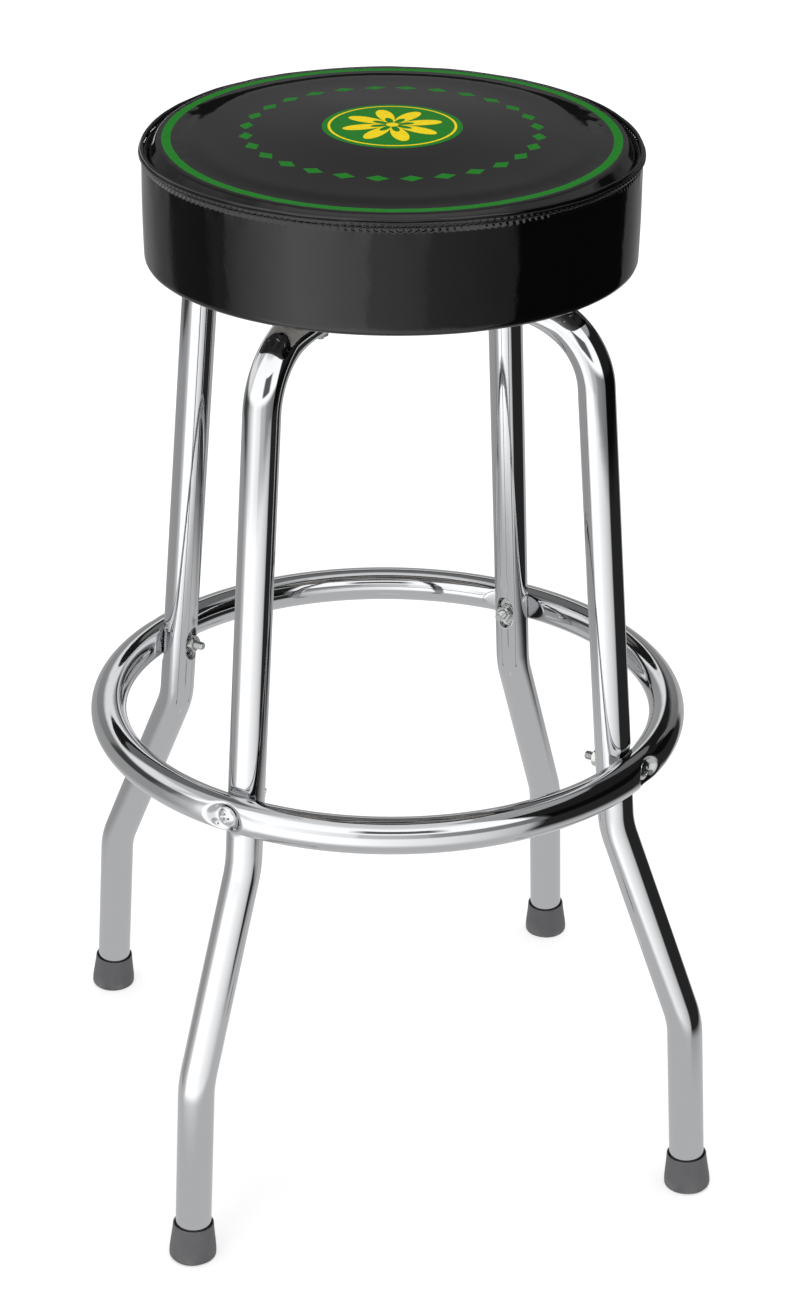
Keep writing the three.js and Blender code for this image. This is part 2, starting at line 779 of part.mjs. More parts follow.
function addSwivel() {
  const plate = makeSwivelPlate();
  place(stool, 'swivel_lower_plate', plate, darkSteel, 0, 0, swivelBottom);
  const upper = place(stool, 'swivel_upper_plate', plate, darkSteel, 0, 0, swivelTop);
  upper.rotation.x = Math.PI;
  place(stool, 'swivel_rivet', makeRivet(), zinc, 0, 0, midSwivel);
  place(stool, 'ball_cage', makeCage(), zinc, 0, 0, midSwivel);
  const ball = new THREE.SphereGeometry(ballRadius, swivel.ballSides, swivel.ballSides / 2);
  for (let i = 0; i < swivel.ballCount; i++) {
    const angle = ballAngle(i);
    const x = swivel.raceRadius * Math.cos(angle);
    const y = swivel.raceRadius * Math.sin(angle);
    place(stool, `race_ball_${String(i + 1).padStart(2, '0')}`, ball, bearingSteel, x, y, midSwivel);
  }
}

function addSeat() {
  place(stool, 'seat_board', makeSeatBoard(), plywood);
  place(stool, 'seat_foam', makeFoamPad(), foam);
  place(stool, 'seat_top_cover', makeTopCover(), vinyl);
  place(stool, 'seat_side_band', makeSideBand(), vinyl);
  place(stool, 'seat_welt', makeWelt(), vinyl, 0, 0, seat.rimHeight + seat.weltLift);
}

addFrame();
addCornerPieces();
addSwivel();
addSeat();

export default stool;
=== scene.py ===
"""A swivelling workshop stool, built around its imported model.

Two chromed tube hoops cross below a round padded seat in gloss black vinyl, with a foot ring bolted outside the
legs. Shapes are worked out in millimetres, and go into their meshes in metres.
"""

import math

import bpy
import numpy as np
from mathutils import Matrix, Vector


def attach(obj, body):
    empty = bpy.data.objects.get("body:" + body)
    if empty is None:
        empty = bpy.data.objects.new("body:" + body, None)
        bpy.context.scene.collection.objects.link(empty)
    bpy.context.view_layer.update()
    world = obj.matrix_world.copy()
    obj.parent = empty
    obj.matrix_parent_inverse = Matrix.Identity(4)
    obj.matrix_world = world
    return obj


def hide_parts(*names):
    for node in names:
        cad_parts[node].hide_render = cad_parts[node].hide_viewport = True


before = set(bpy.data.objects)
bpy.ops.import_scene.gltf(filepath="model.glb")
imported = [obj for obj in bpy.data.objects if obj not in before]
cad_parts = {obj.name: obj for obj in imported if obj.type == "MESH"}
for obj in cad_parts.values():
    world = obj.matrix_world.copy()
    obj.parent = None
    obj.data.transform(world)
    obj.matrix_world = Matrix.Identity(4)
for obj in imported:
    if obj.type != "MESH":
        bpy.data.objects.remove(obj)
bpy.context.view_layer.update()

METRE = 0.001
CORNERS = {"back_right": 45, "back_left": 135, "front_left": 225, "front_right": 315}

# The frame's measures in millimetres, as in the model
GAP = 0.3
TUBE_RADIUS = 12.7
TUBE_WALL = 1.2
RUN_TOP = 657.0
RUN_HALF = 7.0
RING_HEIGHT = 329.7
RING_RADIUS = 202.976
RING_SADDLE = 194.276
LEG_SADDLE = 193.976
HEAD_SEAT = 207.676
NUT_SEAT = 178.076
FOOT = (261.5, 0.0)
LOWER_KINK = (251.7, 138.5)
UPPER_KINK = (189.7, RING_HEIGHT - 48.4)
SHOULDER = 156.0
BEND_RADII = (60, 60, 51)

# The seat's measures, as the photograph shows them. LEAN is a slope, and it rises towards FULLER_SIDE.
RIM_HEIGHT = 742.0
SEAT_BOTTOM = 669.0
SEAT_RADIUS = 167.4
CROWN_EDGE = 164.0
STITCH_LEVEL = 739.0
STITCHES = 224
EDGE_RISE = 8.7
LEAN = 0.035
FULLER_SIDE = math.radians(76.2)

# How many times different waves go round the seat
SEAM_WAVES = (7, 11, 17, 23, 31)
GATHER_WAVES = (29, 37, 43, 53, 61)

VINYL_BLACK = (0.0028, 0.0028, 0.0031)


# ---- camera

CAMERA_PLACE = (-0.4510, -1.8378, 1.2856)


def add_object(name, data):
    added = bpy.data.objects.new(name, data)
    bpy.context.scene.collection.objects.link(added)
    return added


def aim_camera():
    """The camera fitted to the photograph: its place, forward direction and a small roll."""
    forward = Vector((0.21825, 0.87229, -0.43758)).normalized()
    roll = 0.0099
    right = forward.cross(Vector((0, 0, 1))).normalized()
    up = right.cross(forward)
    turn = Matrix((*spun(right, up, -roll), -forward)).transposed().to_4x4()
    lens = bpy.data.cameras.new("camera")
    lens.lens = 79.67
    camera = add_object("camera", lens)
    camera.matrix_world = Matrix.Translation(CAMERA_PLACE) @ turn
    bpy.context.scene.camera = camera


# ---- surfaces

def smooth_step(value, start, end):
    """Nought before start, one after end, and an even S between them."""
    share = np.clip((value - start) / (end - start), 0, 1)
    return share * share * (3 - 2 * share)


def soft_min(a, b, blend):
    """The lower of two values, with the corner where they cross rounded over the blend's width."""
    share = np.clip(0.5 + 0.5 * (b - a) / blend, 0, 1)
    return b + (a - b) * share - blend * share * (1 - share)


def soft_max(a, b, blend):
    """The higher of two values, rounded where they cross."""
    return -soft_min(-a, -b, blend)


def ripple(angle, waves, seed):
    """A wandering line: sines of given counts per turn, with fixed random shifts and weights."""
    draw = np.random.default_rng(seed)
    total = np.zeros_like(angle)
    for count in waves:
        total = total + draw.uniform(0.4, 1.0) * np.sin(count * angle + draw.uniform(0, 2 * math.pi))
    return total / math.sqrt(len(waves))


def grid_faces(rows, columns, down=False):
    """Quads between neighbours of a grid. The last column joins the first, and with down the last row too."""
    row = np.arange(rows if down else rows - 1)[:, None]
    column = np.arange(columns)[None, :]
    next_row, next_column = (row + 1) % rows, (column + 1) % columns
    corners = [row * columns + column, row * columns + next_column]
    corners += [next_row * columns + next_column, next_row * columns + column]
    return np.stack(corners, -1).reshape(-1, 4)


def closed_tube(points, poles=None):
    """A grid of points whose columns go round. Two poles close its ends in fans, else its rows go round too."""
    rows, columns = points.shape[:2]
    flat = points.reshape(-1, 3)
    if poles is None:
        return flat, [grid_faces(rows, columns, down=True)]
    column = np.arange(columns)
    beside = (column + 1) % columns
    first, last = rows * columns, rows * columns + 1
    start = np.stack([np.full(columns, first), beside, column], -1)
    end = (rows - 1) * columns
    finish = np.stack([np.full(columns, last), end + column, end + beside], -1)
    return np.vstack([flat, np.array(poles, float)]), [grid_faces(rows, columns), start, finish]


def outward(points, faces):
    """The same closed shell with its faces pointing outwards. Its volume, added up from the cones between its
    faces and the origin, is negative if it is inside out."""
    volume = 0.0
    for block in faces:
        for k in range(1, block.shape[1] - 1):
            a, b, c = points[block[:, 0]], points[block[:, k]], points[block[:, k + 1]]
            volume += np.einsum("ij,ij->i", a, np.cross(b, c)).sum()
    return points, [block[:, ::-1] for block in faces] if volume < 0 else faces


def spun(a, b, angle):
    """Two coordinates turned in their plane, from the first towards the second."""
    return a * math.cos(angle) - b * math.sin(angle), a * math.sin(angle) + b * math.cos(angle)


def turned(points, degrees):
    """Points turned about the stool's upright axis."""
    across, along = spun(points[..., 0], points[..., 1], math.radians(degrees))
    return np.stack([across, along, points[..., 2]], -1)


def once_round(count):
    """Angles once round, evenly apart."""
    return np.arange(count) * 2 * math.pi / count


def about_axis(radius, angle, height):
    """Points round the upright axis, at radii, angles and heights that are stretched to one grid."""
    radius, angle, height = np.broadcast_arrays(radius, angle, height)
    return np.stack([radius * np.cos(angle), radius * np.sin(angle), height], -1)


def capped_tube(rows):
    """A closed tube whose poles are the middles of its first and last row."""
    return closed_tube(rows, [rows[0].mean(0), rows[-1].mean(0)])


def make_piece(name, shells, material, body, stands_for=(), sharp=None):
    """Puts closed shells of points in millimetres into one mesh, rides it on a body and gives it its finish."""
    points, blocks, start = [], [], 0
    for shell in shells:
        shell_points, shell_faces = outward(*shell)
        points.append(shell_points)
        blocks += [block + start for block in shell_faces]
        start += len(shell_points)
    mesh = bpy.data.meshes.new(name)
    mesh.vertices.add(start)
    mesh.vertices.foreach_set("co", (np.vstack(points) * METRE).astype(np.float32).ravel())
    corners = np.concatenate([block.ravel() for block in blocks]).astype(np.int32)
    sizes = np.concatenate([np.full(len(block), block.shape[1]) for block in blocks])
    mesh.loops.add(len(corners))
    mesh.loops.foreach_set("vertex_index", corners)
    mesh.polygons.add(len(sizes))
    mesh.polygons.foreach_set("loop_start", (np.cumsum(sizes) - sizes).astype(np.int32))
    mesh.update(calc_edges=True)
    mesh.shade_smooth()
    if sharp:
        mesh.set_sharp_from_angle(angle=math.radians(sharp))
    mesh.materials.append(material)
    piece = add_object(name, mesh)
    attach(piece, body)
    if stands_for:
        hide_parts(*stands_for)
    return piece


# ---- shader writing

class Shader:
    """Writes a material's or the world's node tree. Each call adds a node and gives back its output."""

    def __init__(self, owner):
        owner.use_nodes = True
        self.owner, self.tree = owner, owner.node_tree
        self.place = self.node("TexCoord", output="Object")

    def node(self, kind, inputs=None, output=0, **settings):
        """Sockets of the inputs are linked, other values set. The output None gives back all outputs."""
        node = self.tree.nodes.new("ShaderNode" + kind)
        for name, value in settings.items():
            setattr(node, name, value)
        for name, value in (inputs or {}).items():
            if isinstance(value, bpy.types.NodeSocket):
                self.tree.links.new(value, node.inputs[name])
            else:
                node.inputs[name].default_value = value
        return node.outputs if output is None else node.outputs[output]

    def split(self, vector=None):
        return self.node("SeparateXYZ", {0: vector or self.place}, output=None)

    def math(self, operation, *values):
        return self.node("Math", dict(enumerate(values)), operation=operation)

    def times(self, a, b):
        return self.math("MULTIPLY", a, b)

    def length(self, vector):
        return self.node("VectorMath", {0: vector}, output="Value", operation="LENGTH")

    def highest(self, first, *others):
        for other in others:
            first = self.math("MAXIMUM", first, other)
        return first

    def within(self, value, low, high, edge):
        """One where a value lies between two limits, nought outside, with edges as wide as edge."""
        rise = self.step(value, low - edge / 2, low + edge / 2)
        fall = self.step(value, high + edge / 2, high - edge / 2)
        return self.times(rise, fall)

    def step(self, value, start, end, low=0.0, high=1.0):
        """Moves from low to high as a value goes from start to end."""
        inputs = {"Value": value, "From Min": start, "From Max": end, "To Min": low, "To Max": high}
        return self.node("MapRange", inputs, interpolation_type="SMOOTHSTEP")

    def mix(self, share, a, b):
        return self.node("Mix", {0: share, 2: a, 3: b}, data_type="FLOAT")

    def mix_colour(self, share, a, b):
        return self.node("Mix", {0: share, 6: a, 7: b}, output=2, data_type="RGBA")

    def noise(self, scale, detail=3.0, roughness=0.5, vector=None):
        inputs = {"Vector": vector or self.place, "Scale": scale, "Detail": detail, "Roughness": roughness}
        return self.node("TexNoise", inputs)

    def bump(self, height, distance, normal=None):
        inputs = {"Height": height, "Distance": distance, "Strength": 1.0}
        if normal:
            inputs["Normal"] = normal
        return self.node("Bump", inputs)

    def stretched(self, scale):
        return self.node("Mapping", {"Vector": self.place, "Scale": scale})

    def ramp(self, share, stops):
        """A value read off a line of (place, value) stops."""
        node = self.tree.nodes.new("ShaderNodeValToRGB")
        while len(node.color_ramp.elements) < len(stops):
            node.color_ramp.elements.new(0.5)
        for element, (place, value) in zip(node.color_ramp.elements, stops):
            element.position = place
        for element, (place, value) in zip(node.color_ramp.elements, stops):
            element.color = (value, value, value, 1)
        self.tree.links.new(share, node.inputs[0])
        return node.outputs[0]

    def feed(self, **sockets):
        """Links values to the surface's sockets and gives back the material."""
        surface = self.tree.nodes["Principled BSDF"]
        for name, value in sockets.items():
            self.tree.links.new(value, surface.inputs[name.replace("_", " ")])
        return self.owner

    def show(self, surface, output="Material Output"):
        self.tree.links.new(surface, self.tree.nodes[output].inputs["Surface"])


def new_material(name, colour, roughness, metallic=0.0, **sockets):
    """The shader of a new material, whose even values are set on the surface's own sockets."""
    shader = Shader(bpy.data.materials.new(name))
    surface = shader.tree.nodes["Principled BSDF"]
    sockets.update(Base_Color=(*colour, 1), Roughness=roughness, Metallic=metallic)
    for socket, value in sockets.items():
        surface.inputs[socket.replace("_", " ")].default_value = value
    return shader


def chrome_plate(name="chrome_plate", colour=(0.58, 0.585, 0.597), haze=0.045):
    """Bright chrome: a mirror with faint cloudy haze, and plating that is very slightly uneven."""
    shader = new_material(name, colour, haze, metallic=1.0)
    cloud = shader.noise(38, detail=4)
    roughness = shader.step(cloud, 0.35, 0.75, haze * 0.7, haze * 1.5)
    swell = shader.noise(55, detail=1)
    return shader.feed(Roughness=roughness, Normal=shader.bump(swell, 0.00006))


def zinc_plate():
    """Bright zinc on small fasteners: satin, cloudy, with a faint yellow and blue cast."""
    shader = new_material("zinc_plate", (0.6, 0.61, 0.6), 0.28, metallic=1.0)
    cloud = shader.noise(420, detail=4)
    colour = shader.mix_colour(shader.step(cloud, 0.35, 0.65), (0.50, 0.51, 0.50, 1), (0.68, 0.69, 0.67, 1))
    roughness = shader.step(cloud, 0.3, 0.7, 0.2, 0.38)
    return shader.feed(Base_Color=colour, Roughness=roughness, Normal=shader.bump(cloud, 0.00004))


def pressed_steel():
    """Dark plated sheet steel of the swivel: rolled lines along one way, blotchy and dull."""
    shader = new_material("pressed_steel", (0.13, 0.13, 0.135), 0.42, metallic=1.0)
    rolled = shader.noise(60, detail=5, vector=shader.stretched((1, 14, 14)))
    blotch = shader.noise(25, detail=4)
    colour = shader.mix_colour(shader.step(blotch, 0.3, 0.7), (0.11, 0.11, 0.115, 1), (0.2, 0.2, 0.2, 1))
    roughness = shader.step(rolled, 0.3, 0.7, 0.32, 0.52)
    return shader.feed(Base_Color=colour, Roughness=roughness, Normal=shader.bump(rolled, 0.00003))


def bearing_steel():
    """Ground steel balls with a film of oil."""
    shader = new_material("bearing_ball", (0.58, 0.58, 0.59), 0.1, metallic=1.0)
    return shader.feed(Roughness=shader.step(shader.noise(300), 0.3, 0.7, 0.06, 0.2))


def tip_rubber():
    """Moulded grey rubber: matt, finely pitted, a little dusty towards the floor."""
    shader = new_material("tip_rubber", (0.15, 0.148, 0.156), 0.62)
    pits = shader.noise(1500, detail=2)
    cloud = shader.noise(90, detail=4)
    height = shader.split()[2]
    dust = shader.times(shader.step(height, 0.012, 0.0), shader.step(cloud, 0.4, 0.7))
    plain = shader.mix_colour(shader.step(cloud, 0.3, 0.7), (0.138, 0.136, 0.144, 1), (0.162, 0.16, 0.168, 1))
    colour = shader.mix_colour(dust, plain, (0.23, 0.225, 0.22, 1))
    roughness = shader.step(cloud, 0.3, 0.7, 0.5, 0.68)
    return shader.feed(Base_Color=colour, Roughness=roughness, Normal=shader.bump(pits, 0.00006))


def plywood_board():
    """Underside of the seat board: pale greyed veneer, long wavy grain with darker streaks and pores."""
    shader = new_material("plywood", (0.5, 0.47, 0.43), 0.65)
    bend = shader.noise(4, detail=2)
    grain = shader.noise(12, detail=6, roughness=0.6, vector=shader.stretched((1.5, 16, 16)))
    pores = shader.noise(160, detail=2, vector=shader.stretched((1, 12, 12)))
    streak = shader.step(shader.math("ADD", grain, shader.times(bend, 0.3)), 0.45, 0.9)
    colour = shader.mix_colour(streak, (0.55, 0.52, 0.475, 1), (0.42, 0.385, 0.34, 1))
    colour = shader.mix_colour(shader.step(pores, 0.62, 0.7), colour, (0.27, 0.24, 0.2, 1))
    return shader.feed(Base_Color=colour, Normal=shader.bump(grain, 0.0001))


def pad_foam():
    """Open foam: pale buff, dull, full of small pores, with painted shade darkening their hollows."""
    shader = new_material("pad_foam", (0.68, 0.58, 0.28), 0.95)
    cells = shader.node("TexVoronoi", {"Vector": shader.place, "Scale": 700.0})
    # The pits that the bump sinks are painted darker: painted shade in the pores, not a colour of the foam itself.
    colour = shader.mix_colour(shader.step(cells, 0.1, 0.6), (0.5, 0.41, 0.18, 1), (0.74, 0.65, 0.36, 1))
    return shader.feed(Base_Color=colour, Normal=shader.bump(cells, 0.0003))


def vinyl_gloss(shader, swell_height, dent_height):
    """What both vinyls share: a slightly cloudy gloss, over a slow swell, small soft dents and a fine grain."""
    cloud = shader.noise(16, detail=4)
    grain = shader.noise(900, detail=2)
    swell = shader.bump(shader.noise(24, detail=1), swell_height)
    dents = shader.bump(shader.noise(75, detail=3, roughness=0.6), dent_height, normal=swell)
    return shader.step(cloud, 0.3, 0.75, 0.05, 0.1), shader.bump(grain, 0.000005, normal=dents)


def black_vinyl():
    """Gloss black upholstery vinyl of the band, the seam and the turned edge."""
    shader = new_material("black_vinyl", VINYL_BLACK, 0.1)
    roughness, normal = vinyl_gloss(shader, 0.0006, 0.00015)
    return shader.feed(Roughness=roughness, Normal=normal)


def printed_vinyl():
    """The seat's top: black vinyl with a printed ring stripe, and a plain round ornament in the same inks.

    Each figure is a rule on the distance from the middle and the angle round it: bands of distance, petals
    whose edge follows a cosine, and lozenges where two scaled distances add up to less than one.
    """
    shader = new_material("printed_vinyl", VINYL_BLACK, 0.1)
    x, y, _ = shader.split()
    squares = shader.math("ADD", shader.math("POWER", x, 2.0), shader.math("POWER", y, 2.0))
    distance = shader.math("SQRT", squares)
    angle = shader.math("ARCTAN2", y, x)
    crisp = 0.00035

    def lozenges(count, middle, long, wide):
        turn = shader.times(angle, count / (2 * math.pi))
        part = shader.math("SUBTRACT", shader.math("FRACT", shader.math("ADD", turn, 10.0)), 0.5)
        along = shader.times(shader.math("ABSOLUTE", part), 2 * math.pi / count * middle / long)
        off = shader.math("ABSOLUTE", shader.math("SUBTRACT", distance, middle))
        total = shader.math("ADD", along, shader.math("DIVIDE", off, wide))
        return shader.step(total, 1 + crisp / wide, 1 - crisp / wide)

    def petals(count, inner, outer):
        lobe = shader.math("ABSOLUTE", shader.math("COSINE", shader.times(angle, count / 2)))
        edge = shader.math("MULTIPLY_ADD", lobe, outer - inner, inner)
        return shader.step(shader.math("SUBTRACT", edge, distance), -crisp, crisp)

    stripe = shader.within(distance, 0.1477, 0.1538, crisp)
    medallion = shader.step(distance, 0.0470 + crisp, 0.0470 - crisp)
    green = shader.highest(stripe, medallion, lozenges(28, 0.098, 0.0078, 0.0048))
    line = shader.within(distance, 0.0415, 0.0432, crisp)
    rosette = shader.math("SUBTRACT", petals(8, 0.009, 0.034), petals(8, 0.004, 0.015))
    yellow = shader.highest(line, rosette, shader.step(distance, 0.0045, 0.0038))
    ink = shader.highest(green, yellow)
    worn = shader.step(shader.noise(400, detail=3), 0.3, 0.7)
    leaf = shader.mix_colour(worn, (0.008, 0.19, 0.012, 1), (0.012, 0.215, 0.016, 1))
    gold = shader.mix_colour(worn, (0.9, 0.68, 0.0, 1), (1.0, 0.74, 0.005, 1))
    colour = shader.mix_colour(green, (*VINYL_BLACK, 1), leaf)
    colour = shader.mix_colour(yellow, colour, gold)
    roughness, normal = vinyl_gloss(shader, 0.00006, 0.00004)
    roughness = shader.mix(ink, roughness, 0.32)
    gloss = shader.mix(ink, 0.5, 0.1)
    return shader.feed(Base_Color=colour, Roughness=roughness, Specular_IOR_Level=gloss, Normal=normal)


def black_thread():
    """Black polyester thread: soft sheen, fine twist."""
    shader = new_material("black_thread", (0.012, 0.012, 0.013), 0.5, Sheen_Weight=0.3)
    return shader.feed(Normal=shader.bump(shader.noise(2500), 0.00008))


# ---- tube hoops

def thinned(spacing, points, directions):
    """Picks stations from a fine line, as far apart as spacing says at each place."""
    steps = np.linalg.norm(np.diff(points, axis=0), axis=1)
    count = np.concatenate([[0], np.cumsum(steps / spacing[1:])])
    picked = np.unique(np.searchsorted(count, np.arange(math.ceil(count[-1]))))
    picked = np.append(picked[picked < len(points) - 1], len(points) - 1)
    return points[picked], directions[picked]


def bent_line(corners, bends, step=0.25):
    """A line through corners whose bends are arcs of given radii: points and directions, step apart."""
    corners = [np.array(corner, float) for corner in corners]
    points, directions, here = [], [], corners[0]

    def straight(start, end):
        length = np.linalg.norm(end - start)
        way = (end - start) / length
        share = np.arange(0, length, step)[:, None]
        points.append(start + share * way)
        directions.append(way + 0 * share)

    for before, corner, after, bend in zip(corners, corners[1:], corners[2:], bends):
        into = (corner - before) / np.linalg.norm(corner - before)
        onward = (after - corner) / np.linalg.norm(after - corner)
        turn = math.acos(np.dot(into, onward))
        side = onward - into * np.dot(into, onward)
        side /= np.linalg.norm(side)
        start = corner - into * bend * math.tan(turn / 2)
        straight(here, start)
        angle = np.arange(0, turn, step / bend)[:, None]
        points.append(start + bend * (np.sin(angle) * into + (1 - np.cos(angle)) * side))
        directions.append(np.cos(angle) * into + np.sin(angle) * side)
        here = corner + onward * bend * math.tan(turn / 2)
    straight(here, corners[-1])
    points.append(corners[-1][None, :])
    directions.append(directions[-1][-1:])
    return np.vstack(points), np.vstack(directions)


def pressed_section(share, half):
    """A tube pressed to a half height keeps its wall's length: two half circles joined by flats. share goes once
    round from the middle of the inner flat. The result is how far across and how far outward."""
    flat, arc = math.pi * (TUBE_RADIUS - half), math.pi * half
    length = share * 2 * math.pi * TUBE_RADIUS
    right = np.clip((length - flat / 2) / half, 0, math.pi)
    left = np.clip((length - 1.5 * flat - arc) / half, 0, math.pi)
    walked = np.clip(length, 0, flat / 2) - np.clip(length - flat / 2 - arc, 0, flat)
    walked = walked + np.clip(length - 1.5 * flat - 2 * arc, 0, flat / 2)
    across = walked + half * (np.sin(right) - np.sin(left))
    return across, -half * np.cos(right) * (left == 0) + half * np.cos(left) * (left > 0)


def hoop_points(lift):
    """Half a hoop in its own upright plane, from its foot to the crossing: its surface, its line and the line's
    directions.

    The tube is pressed flat below the swivel, and flatter still where the other hoop crosses. At the foot ring
    it has a hollow outside, whose floor rises away from the ring, and inside an oval dimple with a level floor
    for the nut.
    """
    run_height = RUN_TOP - RUN_HALF
    corners = [FOOT, LOWER_KINK, UPPER_KINK, (SHOULDER, run_height), (0, run_height)]
    points, directions = bent_line(corners, BEND_RADII)
    above_tip_floor = points[:, 1] > 4.2
    points, directions = points[above_tip_floor], directions[above_tip_floor]
    dented = np.abs(points[:, 1] - RING_HEIGHT) < 22
    curved = np.abs(np.gradient(directions[:, 0])) > 1e-4
    pressed_part = points[:, 0] < 140
    spacing = np.where(dented, 0.5, np.where(curved | pressed_part, 1.6, 5.0))
    points, directions = thinned(spacing, points, directions)
    x, z = points[:, :1], points[:, 1:]
    crossing_half = (RUN_HALF - GAP / 2) / 2
    crossing_flat = math.pi * (TUBE_RADIUS - crossing_half) / 2 + crossing_half + 2
    high = z > RING_HEIGHT
    pressed = high * smooth_step(-x, -136.0, -106.0)
    crossed = high * smooth_step(-x, -crossing_flat - 14, -crossing_flat)
    half = TUBE_RADIUS + (RUN_HALF - TUBE_RADIUS) * pressed
    half = half + (crossing_half - half) * crossed
    shift = lift * crossed * (RUN_HALF - crossing_half)
    share = np.arange(96)[None, :] / 96
    share = share - 0.6 / (2 * math.pi) * np.sin(2 * math.pi * share)
    across, out = pressed_section(share, half)
    px = x + directions[:, 1:] * out
    pz = z - directions[:, :1] * out + shift
    level = np.abs(pz - RING_HEIGHT)
    hollow = LEG_SADDLE + 5.0 * np.clip((level - 10.5) / 8.5, 0, None) ** 1.6
    near = (level < 26) & (px > 150)
    px = np.where(near, soft_min(px, hollow, 0.9), px)
    oval = ((np.abs(across) / 7.0) ** 2.3 + (level / 12.8) ** 2.3) ** (1 / 2.3)
    dimple = NUT_SEAT - 7.0 * smooth_step(oval, 0.84, 1.14)
    px = np.where(near, soft_max(px, dimple, 0.5), px)
    return np.stack([px, across, pz], -1), points, directions


def hoop_shell(lift):
    """The whole hoop: the half and its mirror image, with short open bores at both feet."""
    half, line, directions = hoop_points(lift)
    middle = np.array([line[0, 0], 0, line[0, 1]])
    way = np.array([directions[0, 0], 0, directions[0, 1]])
    lip = middle + (half[0] - middle) * (1 - TUBE_WALL / TUBE_RADIUS)
    depth = way * 20
    half = np.vstack([(lip + depth)[None], lip[None], half])
    mirror = np.array([-1, 1, 1])
    pole = middle + depth
    return closed_tube(np.vstack([half, half[:-1][::-1] * mirror]), [pole, pole * mirror])


def ring_shell():
    """The foot ring. At each bolt its inside has a long leaf-shaped press against the leg, and its outside a soft
    round dimple with a level floor for the bolt's head."""
    quarter, pressed = math.pi / 2 * RING_RADIUS, 34
    fine = np.arange(-pressed, pressed, 0.75)
    coarse = np.linspace(pressed, quarter - pressed, 46)[:-1]
    station = np.concatenate([fine, coarse])
    angle = (station / RING_RADIUS)[:, None]
    away = np.abs(station)[:, None]
    round_tube = once_round(80)
    up, reach = TUBE_RADIUS * np.sin(round_tube), RING_RADIUS + TUBE_RADIUS * np.cos(round_tube)
    out, along = reach * np.cos(angle), reach * np.sin(angle)
    press = RING_SADDLE - 6.6 * np.clip((away - 10.5) / 20, 0, None) ** 1.4
    out = np.where(away < pressed, soft_max(out, press, 0.8), out)
    bowl = HEAD_SEAT + 8.0 * smooth_step(np.sqrt((away / 14.0) ** 2 + (up / 13.5) ** 2), 0.52, 1.1)
    out = np.where(away < 30, soft_min(out, bowl + 0.05 * np.clip(away - 14, 0, None) ** 1.5, 4.4), out)
    quarter_points = np.stack([out, along, RING_HEIGHT + up + 0 * out], -1)
    return closed_tube(np.vstack([turned(quarter_points, degrees) for degrees in CORNERS.values()]))


# ---- fasteners

def cross_head(head_radius, head_height):
    """A domed screw head above height nought: an elliptic dome on a short rim, with a recess inside two bars that
    cross, which grows shallow away from the middle."""
    angle = once_round(96)
    rim = head_height * 0.22
    inner = np.linspace(0.02, 0.56, 26)
    outer = np.sin(np.linspace(0.6, math.pi / 2, 16))
    radius = head_radius * np.concatenate([inner, outer])[:, None]
    dome = rim + (head_height - rim) * np.sqrt(np.clip(1 - (radius / head_radius) ** 2, 0, 1))
    x, y = np.abs(radius * np.cos(angle)), np.abs(radius * np.sin(angle))
    along, aside = np.maximum(x, y), np.minimum(x, y)
    bar = head_radius * 0.115 + 0.12 * np.clip(head_radius * 0.3 - along, 0, None)
    inside = smooth_step(bar - aside, -0.12, 0.12)
    depth = head_height * 0.62 * np.clip(1 - along / (head_radius * 0.52), 0, 1) ** 0.6
    height = dome - inside * depth
    return about_axis(radius, angle, height), (0, 0, height[0].mean())


def threaded_shank(radius, length, threaded, pitch):
    """A shank below height nought: plain, then a thread whose radius follows a triangle wave along a helix, then
    a short chamfer."""
    angle = once_round(24)
    depth = 0.61 * pitch
    height = -np.linspace(length - threaded, length - 0.02, max(int(threaded / pitch * 8), 2))[:, None]
    turn = height / pitch - angle / (2 * math.pi)
    wave = np.abs(2 * (turn - np.floor(turn + 0.5)))
    ease = smooth_step(-height, length - threaded, length - threaded + pitch)
    end = smooth_step(-height, length - 1.1, length)
    r = radius - depth * ease * np.clip(1.25 * wave - 0.12, 0, 1)
    r = np.minimum(r, radius - end * depth)
    return about_axis(r, angle, height)


def bolt_shells(radius, head_radius, head_height, length, threaded, pitch):
    """A bolt that points down: one shell for its head and one for its shank, which starts inside the head."""
    top, pole = cross_head(head_radius, head_height)
    rim = about_axis(head_radius * np.array([[1], [0.97]]), once_round(96), np.array([[0.12], [0]]))
    head = closed_tube(np.vstack([top, rim]), [pole, (0, 0, 0)])
    inside = head_height * 0.15
    neck = about_axis(radius, once_round(24), np.array([[inside], [0]]))
    shank = threaded_shank(radius, length, threaded, pitch)
    return [head, closed_tube(np.vstack([neck, shank]), [(0, 0, inside), (0, 0, -length)])]


def nut_shell(across_flats, height, bore):
    """A hexagon nut from height nought up: six flats, corners cut back by a cone on both faces, a round bore."""
    columns = 96
    angle = (np.arange(columns) + 0.5) * 2 * math.pi / columns
    flats = across_flats / 2 / np.cos((angle + math.pi / 6) % (math.pi / 3) - math.pi / 6)
    cut = np.array([0, 0.12, 0.25, 0.4, 0.6, 0.9])[:, None]
    low = np.minimum(flats, across_flats / 2 * 0.97 + cut * 1.8)
    mouth, wall = np.full((1, columns), bore + 0.5), np.full((2, columns), bore)
    radius = np.vstack([mouth, low, low[::-1], mouth, wall])
    level = np.vstack([[[0]], cut, height - cut[::-1], [[height], [height - 0.5], [0.5]]])
    return closed_tube(about_axis(radius, angle, level))


